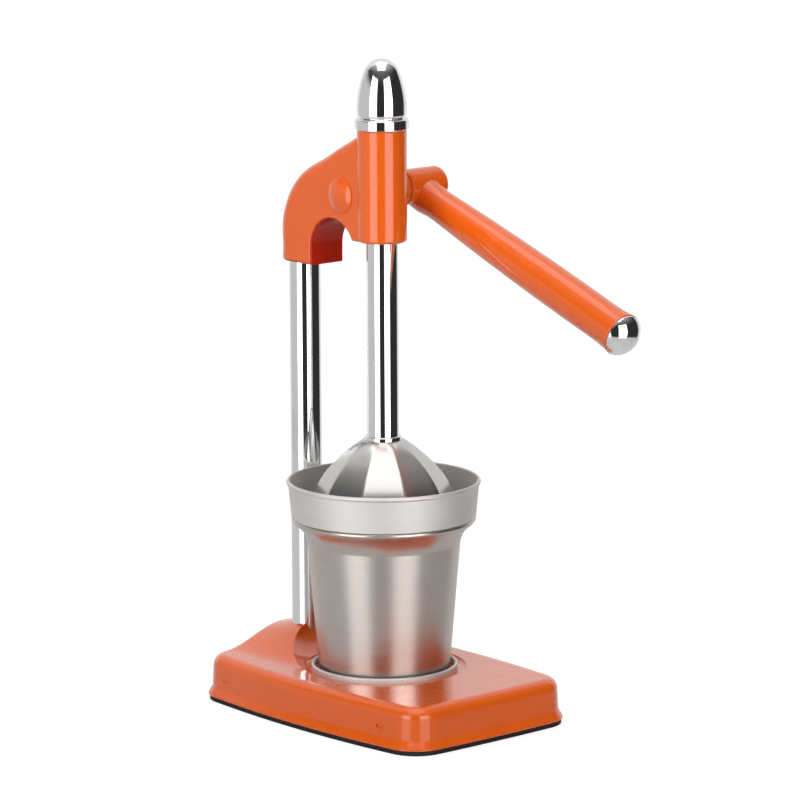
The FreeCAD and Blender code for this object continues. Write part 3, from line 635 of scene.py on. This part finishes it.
def presser_tree():
    """A pressed bell: a sheet wrapped round the axis, panelled at the rim and round at the neck."""
    inputs = [
        ("Rim radius", "Float"),
        ("Neck radius", "Float"),
        ("Hole radius", "Float"),
        ("Rim height", "Float"),
        ("Neck height", "Float"),
        ("Panels", "Int"),
        ("Turn", "Float"),
        ("Axis", "Vector"),
        ("Material", "Material"),
    ]
    group, tree, entry = new_geometry_tree("panelled presser", inputs)
    columns = 321
    rows = 72
    roof_share = 0.1
    side_bend = 1.9
    side_fullness = 0.93
    ridge_reach_limit = 0.995
    ridge_softness = 0.01
    values = {"Size X": 1.0, "Size Y": 1.0, "Vertices X": columns, "Vertices Y": rows}
    sheet = tree.node("GeometryNodeMeshGrid", {}, values)
    grid_place = tree.node("GeometryNodeInputPosition")
    round_share = grid_place.part("X") + 0.5
    climb = (grid_place.part("Y") + 0.5) * (1 + roof_share)
    up_share = climb.maths("MINIMUM", 1.0)
    roof = (climb - 1.0).maths("MAXIMUM", 0.0) / roof_share
    rim = entry.out("Rim radius")
    neck = entry.out("Neck radius")
    swell = (1 - (up_share**side_bend).maths("MINIMUM", 1.0)) ** side_fullness
    ridge_reach = neck + (rim - neck) * swell
    reach = ridge_reach + (entry.out("Hole radius") - neck) * roof
    panels = entry.out("Panels")
    half_panel = math.pi / panels
    in_panel = ((round_share * panels).maths("FRACT") - 0.5) * half_panel * 2
    flat = half_panel.maths("COSINE") / in_panel.maths("COSINE")
    roundness = tree.smooth(climb, 0.76, 1.02, 0.1, 1.0)
    bulged = flat + (1 - flat) * roundness
    eased = bulged.maths("SMOOTH_MIN", ridge_reach_limit, ridge_softness)
    angle = (round_share - 0.5 / panels) * (2 * math.pi) + entry.out("Turn")
    rim_height = entry.out("Rim height")
    height = rim_height + (entry.out("Neck height") - rim_height) * up_share
    x = angle.maths("COSINE") * reach * eased
    y = angle.maths("SINE") * reach * eased
    axis = entry.out("Axis")
    place = tree.vector(x + axis.part("X"), y + axis.part("Y"), height)
    bent = tree.node("GeometryNodeSetPosition", {}, {"Geometry": sheet, "Position": place})
    closed = tree.node("GeometryNodeMergeByDistance", {}, {"Geometry": bent, "Distance": 0.00001})
    smooth = tree.node("GeometryNodeSetShadeSmooth", {}, {0: closed, "Shade Smooth": True})
    end_tree(tree, smooth, entry.out("Material"))
    return group


def socket_screw_tree():
    """A set screw on each point of the mesh, along Y: a chamfered end with a hexagon socket."""
    inputs = [
        ("Radius", "Float"),
        ("Length", "Float"),
        ("Across flats", "Float"),
        ("Socket depth", "Float"),
        ("Chamfer", "Float"),
        ("Material", "Material"),
    ]
    group, tree, entry = new_geometry_tree("socket set screws", inputs)
    radius = entry.out("Radius")
    length = entry.out("Length")
    chamfer = entry.out("Chamfer")
    sides = 36
    shank_values = {"Vertices": sides, "Radius": radius, "Depth": length - chamfer}
    shank = tree.node("GeometryNodeMeshCylinder", {}, shank_values)
    to_shank = tree.vector(0.0, 0.0, (length - chamfer) * 0.5)
    shank = tree.node("GeometryNodeTransform", {}, {"Geometry": shank, "Translation": to_shank})
    tip_values = {
        "Vertices": sides,
        "Radius Top": radius - chamfer,
        "Radius Bottom": radius,
        "Depth": chamfer,
    }
    tip = tree.node("GeometryNodeMeshCone", {}, tip_values)
    to_tip = tree.vector(0.0, 0.0, length - chamfer)
    tip = tree.node("GeometryNodeTransform", {}, {"Geometry": tip, "Translation": to_tip})
    hexagon_values = {
        "Vertices": 6,
        "Radius": entry.out("Across flats") / math.sqrt(3),
        "Depth": entry.out("Socket depth") * 2,
    }
    hexagon = tree.node("GeometryNodeMeshCylinder", {}, hexagon_values)
    to_end = tree.vector(0.0, 0.0, length)
    hexagon = tree.node("GeometryNodeTransform", {}, {"Geometry": hexagon, "Translation": to_end})
    body = tree.node("GeometryNodeMeshBoolean", {"operation": "UNION", "solver": "EXACT"})
    body_node = body.socket.node
    tree.links.new(shank.socket, body_node.inputs["Mesh 2"])
    tree.links.new(tip.socket, body_node.inputs["Mesh 2"])
    cut = tree.node("GeometryNodeMeshBoolean", {"operation": "DIFFERENCE", "solver": "EXACT"}, {0: body})
    tree.links.new(hexagon.socket, cut.socket.node.inputs["Mesh 2"])
    points = tree.node("GeometryNodeMeshToPoints", {}, {"Mesh": entry.out("Geometry")})
    lying = (-math.pi / 2, 0.0, 0.0)
    placed_values = {"Points": points, "Instance": cut, "Rotation": lying}
    placed = tree.node("GeometryNodeInstanceOnPoints", {}, placed_values)
    end_tree(tree, placed, entry.out("Material"))
    return group


# Operators


class PRESS_OT_enamel(bpy.types.Operator):
    """Bakes the enamel on the base, head, bearing boss and lever"""

    bl_idname = "citrus_press.enamel"
    bl_label = "Enamel the castings"

    def execute(self, context):
        material = enamel_material(context.scene.press_finish)
        for piece in nodes_in("orange_enamel"):
            dress(piece, material)
        return {"FINISHED"}


class PRESS_OT_chrome(bpy.types.Operator):
    """Plates the column, shaft, cap, collar and lever plug"""

    bl_idname = "citrus_press.chrome"
    bl_label = "Chrome the bright parts"

    def execute(self, context):
        material = chrome_material(context.scene.press_finish)
        for piece in nodes_in("chrome"):
            dress(piece, material)
        return {"FINISHED"}


class PRESS_OT_steel(bpy.types.Operator):
    """Brushes the strainer, reamer, seat ring and cup"""

    bl_idname = "citrus_press.steel"
    bl_label = "Brush the steel"

    def execute(self, context):
        finish = context.scene.press_finish
        # The last value of each look scales the colour of the faces towards the axis, as painted shade.
        satin_look = {"roughness": 0.62, "smear": 0.1, "lines": 2600.0, "depth": 0.000006, "inside": 0.85}
        cup_look = {"roughness": 0.33, "smear": 0.4, "lines": 1900.0, "depth": 0.000005, "inside": 0.8}
        satin = brushed_material("satin_steel", finish.steel, **satin_look)
        cup = brushed_material("cup_steel", finish.cup_steel, **cup_look)
        for piece in nodes_in("satin_steel"):
            dress(piece, satin)
        for piece in nodes_in("cup_steel"):
            dress(piece, cup)
        return {"FINISHED"}


class PRESS_OT_works(bpy.types.Operator):
    """Finishes the axle, pinion, plate, bolts, bushes and washers"""

    bl_idname = "citrus_press.works"
    bl_label = "Finish the works"

    def execute(self, context):
        finish = context.scene.press_finish
        grey = (0.52, 0.52, 0.53)
        steel = machined_material("plain_steel", grey, roughness=0.3)
        bronze = machined_material("bush_bronze", finish.bronze, roughness=0.36)
        for piece in nodes_in("plain_steel"):
            dress(piece, steel)
        for piece in nodes_in("bush_bronze"):
            dress(piece, bronze)
        return {"FINISHED"}


class PRESS_OT_mat(bpy.types.Operator):
    """Finishes the rubber mat under the base"""

    bl_idname = "citrus_press.mat"
    bl_label = "Finish the mat"

    def execute(self, context):
        material = rubber_material(context.scene.press_finish)
        for piece in nodes_in("mat_rubber"):
            dress(piece, material)
        return {"FINISHED"}


class PRESS_OT_presser(bpy.types.Operator):
    """Presses the panelled bell from sheet steel"""

    bl_idname = "citrus_press.presser"
    bl_label = "Press the bell"

    def execute(self, context):
        sizes = context.scene.press_presser
        rim_lift = 1.0 * MM
        values = {
            "Rim radius": sizes.rim_radius,
            "Neck radius": sizes.neck_radius,
            "Hole radius": sizes.hole_radius,
            "Rim height": bell_low.z + rim_lift,
            "Neck height": bell_high.z,
            "Panels": sizes.panels,
            "Turn": sizes.turn,
            "Axis": (AXIS_X, AXIS_Y, 0.0),
            "Material": pressed_material(context.scene.press_finish),
        }
        mesh = bpy.data.meshes.new("pressed_bell")
        bell = grown("pressed_bell", mesh, presser_tree(), values)
        wall = bell.modifiers.new("wall", "SOLIDIFY")
        wall.thickness = sizes.wall
        wall.offset = -1
        wall.use_even_offset = True
        bake(bell)
        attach(bell, "plunger")
        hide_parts("presser_bell")
        return {"FINISHED"}


class PRESS_OT_screws(bpy.types.Operator):
    """Turns the socket set screws of the column and the lever's hub"""

    bl_idname = "citrus_press.screws"
    bl_label = "Fit the set screws"

    def execute(self, context):
        sizes = context.scene.press_screw
        group = socket_screw_tree()
        steel = bpy.data.materials["plain_steel"]
        for node, body, count in (("column_set_screws", "frame", 2), ("hub_set_screw", "lever", 1)):
            low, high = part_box(node)
            radius = (high.x - low.x) / 2
            middle_x = (low.x + high.x) / 2
            gap = (high.z - low.z - 2 * radius) / max(count - 1, 1)
            mesh = bpy.data.meshes.new(node)
            points = [(middle_x, low.y, low.z + radius + gap * step) for step in range(count)]
            mesh.from_pydata(points, [], [])
            values = {
                "Radius": radius,
                "Length": high.y - low.y,
                "Across flats": sizes.across_flats,
                "Socket depth": sizes.socket_depth,
                "Chamfer": sizes.chamfer,
                "Material": steel,
            }
            screws = grown(node.replace("set_", "socket_"), mesh, group, values)
            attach(screws, body)
            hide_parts(node)
        return {"FINISHED"}


def facing(azimuth, elevation):
    """The direction towards someone who looks from this azimuth and elevation."""
    flat = math.cos(elevation)
    return Vector((math.sin(azimuth) * flat, -math.cos(azimuth) * flat, math.sin(elevation)))


def table(stage):
    """The plain pale floor, which the reflections see as a glossy table of limited size."""
    mesh = bpy.data.meshes.new("floor")
    half = 6.0
    corners = [(-half, -half, 0), (half, -half, 0), (half, half, 0), (-half, half, 0)]
    mesh.from_pydata(corners, [], [(0, 1, 2, 3)])
    floor = bpy.data.objects.new("floor", mesh)
    bpy.context.scene.collection.objects.link(floor)
    material, tree = new_material("pale_floor")
    place = object_place(tree)
    x = place.part("X")
    y = place.part("Y")
    radius = (x * x + y * y).maths("SQRT")
    rays = tree.node("ShaderNodeLightPath")
    grey = (0.5, 0.5, 0.5, 1)
    table_grey = (0.62, 0.62, 0.62, 1)
    white = (1, 1, 1, 1)
    cloth = tree.node("ShaderNodeBsdfDiffuse", {}, {"Color": grey})
    lift = tree.node("ShaderNodeEmission", {}, {"Color": white, "Strength": 0.62})
    lit = tree.node("ShaderNodeAddShader", {}, {0: cloth, 1: lift})
    seen = tree.node("ShaderNodeMixShader", {}, {0: rays.out("Is Camera Ray"), 1: cloth, 2: lit})
    gloss_values = {"Base Color": table_grey, "Roughness": 0.06, "IOR": 1.5}
    glossy = tree.node("ShaderNodeBsdfPrincipled", {}, gloss_values)
    near = tree.node("ShaderNodeMixShader", {}, {0: rays.out("Is Glossy Ray"), 1: seen, 2: glossy})
    beyond = tree.smooth(radius, stage.floor_radius * 0.8, stage.floor_radius * 1.1)
    gone = beyond * rays.out("Is Glossy Ray")
    clear = tree.node("ShaderNodeBsdfTransparent")
    ends = tree.node("ShaderNodeMixShader", {}, {0: gone, 1: near, 2: clear})
    tree.node("ShaderNodeOutputMaterial", {}, {"Surface": ends})
    dress(floor, material)


def studio(stage):
    """The light all round, by its angle round from the camera and its angle up, in degrees."""
    world = bpy.data.worlds.new("studio")
    world.use_nodes = True
    world.node_tree.nodes.clear()
    tree = Tree(world.node_tree)
    bpy.context.scene.world = world
    direction = tree.node("ShaderNodeTexCoord").out("Generated")
    ahead = facing(stage.azimuth, 0)
    aside = facing(stage.azimuth + math.pi / 2, 0)
    to_degrees = 180 / math.pi
    round_deg = direction.dot(aside).maths("ARCTAN2", direction.dot(ahead)) * to_degrees
    up_deg = direction.part("Z").maths("ARCSINE") * to_degrees

    def window(left, right, bottom, top, soft):
        """One where the direction is inside these angles, nought outside, with soft edges."""
        sideways = tree.smooth(round_deg, left - soft, left + soft)
        sideways = sideways - tree.smooth(round_deg, right - soft, right + soft)
        upright = tree.smooth(up_deg, bottom - soft, bottom + soft)
        upright = upright - tree.smooth(up_deg, top - soft, top + soft)
        return sideways * upright

    strips = window(-58, -23, -45, 29, 1.5) + window(14, 52, -45, 29, 1.5)
    over_deg = direction.part("Z").maths("ARCTAN2", direction.dot(ahead)) * to_degrees
    aside_deg = direction.dot(aside).maths("ARCSINE").maths("ABSOLUTE") * to_degrees
    top_light = tree.smooth(over_deg, 46, 50) * tree.smooth(over_deg, 112, 118, 1.0, 0.0)
    top_light = top_light * tree.smooth(aside_deg, 20, 24, 1.0, 0.0)
    upper_left = tree.smooth(up_deg, 14, 26) * tree.smooth(round_deg, -116, -100)
    left = tree.smooth(round_deg, -62, -56, 0.56, 0.0) * (1 - upper_left)
    back = tree.smooth(round_deg.maths("ABSOLUTE"), 118, 134, 0.0, 0.8)
    ceiling = tree.smooth(up_deg, 20, 70, 0.0, 0.45)
    pale = (left + ceiling).maths("MAXIMUM", back).maths("MINIMUM", 1.0)
    light = strips * stage.strip_level + top_light * stage.top_level + pale + stage.room_level
    white = (1, 1, 1, 1)
    room = tree.node("ShaderNodeBackground", {}, {"Color": white, "Strength": light})
    plain = tree.node("ShaderNodeBackground", {}, {"Color": white, "Strength": 1.0})
    rays = tree.node("ShaderNodeLightPath")
    both = tree.node("ShaderNodeMixShader", {}, {0: rays.out("Is Camera Ray"), 1: room, 2: plain})
    tree.node("ShaderNodeOutputWorld", {}, {"Surface": both})


def fill_light(stage):
    """A soft lamp to the left of the press, turned to the head so that it barely reaches the base."""
    data = bpy.data.lights.new("fill", "AREA")
    data.energy = stage.fill_power
    data.size = 0.3
    data.spread = math.radians(50)
    lamp = bpy.data.objects.new("fill", data)
    bpy.context.scene.collection.objects.link(lamp)
    place = Vector((-0.5, -0.2, 0.5))
    head_middle = Vector((0, 0, 0.31))
    turn = (head_middle - place).to_track_quat("-Z", "Y").to_matrix().to_4x4()
    lamp.matrix_world = Matrix.Translation(place) @ turn
    lamp.visible_camera = False
    lamp.visible_glossy = False


def camera(stage):
    """The camera of the photograph."""
    data = bpy.data.cameras.new("camera")
    data.lens = stage.lens
    data.sensor_width = 36.0
    data.clip_end = 50.0
    seen_from = bpy.data.objects.new("camera", data)
    bpy.context.scene.collection.objects.link(seen_from)
    back = facing(stage.azimuth, stage.elevation)
    level_right = Vector((0, 0, 1)).cross(back).normalized()
    level_up = back.cross(level_right)
    right = level_right * math.cos(stage.roll) + level_up * math.sin(stage.roll)
    up = back.cross(right)
    turn = Matrix((right, up, back)).transposed().to_4x4()
    seen_from.matrix_world = Matrix.Translation(Vector(stage.place)) @ turn
    bpy.context.scene.camera = seen_from


class PRESS_OT_stage(bpy.types.Operator):
    """Sets up the floor, the studio light and the camera"""

    bl_idname = "citrus_press.stage"
    bl_label = "Set up the stage"

    def execute(self, context):
        stage = context.scene.press_stage
        context.scene.view_settings.view_transform = "Standard"
        table(stage)
        studio(stage)
        fill_light(stage)
        camera(stage)
        return {"FINISHED"}


class PRESS_PT_panel(bpy.types.Panel):
    """The press's settings and steps"""

    bl_idname = "PRESS_PT_panel"
    bl_label = "Citrus press"
    bl_space_type = "VIEW_3D"
    bl_region_type = "UI"
    bl_category = "Citrus press"

    def draw(self, context):
        layout = self.layout
        for name, group in SETTINGS:
            box = layout.box()
            settings = getattr(context.scene, name)
            for key in group.__annotations__:
                box.prop(settings, key)
        for operator in OPERATORS:
            layout.operator(operator.bl_idname)


SETTINGS = (
    ("press_finish", PressFinish),
    ("press_presser", PressPresser),
    ("press_screw", PressScrew),
    ("press_stage", PressStage),
)
OPERATORS = (
    PRESS_OT_enamel,
    PRESS_OT_chrome,
    PRESS_OT_steel,
    PRESS_OT_works,
    PRESS_OT_mat,
    PRESS_OT_presser,
    PRESS_OT_screws,
    PRESS_OT_stage,
)


def register():
    for name, group in SETTINGS:
        bpy.utils.register_class(group)
        setattr(bpy.types.Scene, name, PointerProperty(type=group))
    for operator in OPERATORS:
        bpy.utils.register_class(operator)
    bpy.utils.register_class(PRESS_PT_panel)


def unregister():
    bpy.utils.unregister_class(PRESS_PT_panel)
    for operator in reversed(OPERATORS):
        bpy.utils.unregister_class(operator)
    for name, group in reversed(SETTINGS):
        delattr(bpy.types.Scene, name)
        bpy.utils.unregister_class(group)


def main():
    register()
    bpy.ops.citrus_press.enamel()
    bpy.ops.citrus_press.chrome()
    bpy.ops.citrus_press.steel()
    bpy.ops.citrus_press.works()
    bpy.ops.citrus_press.mat()
    bpy.ops.citrus_press.presser()
    bpy.ops.citrus_press.screws()
    bpy.ops.citrus_press.stage()


if __name__ == "__main__":
    main()
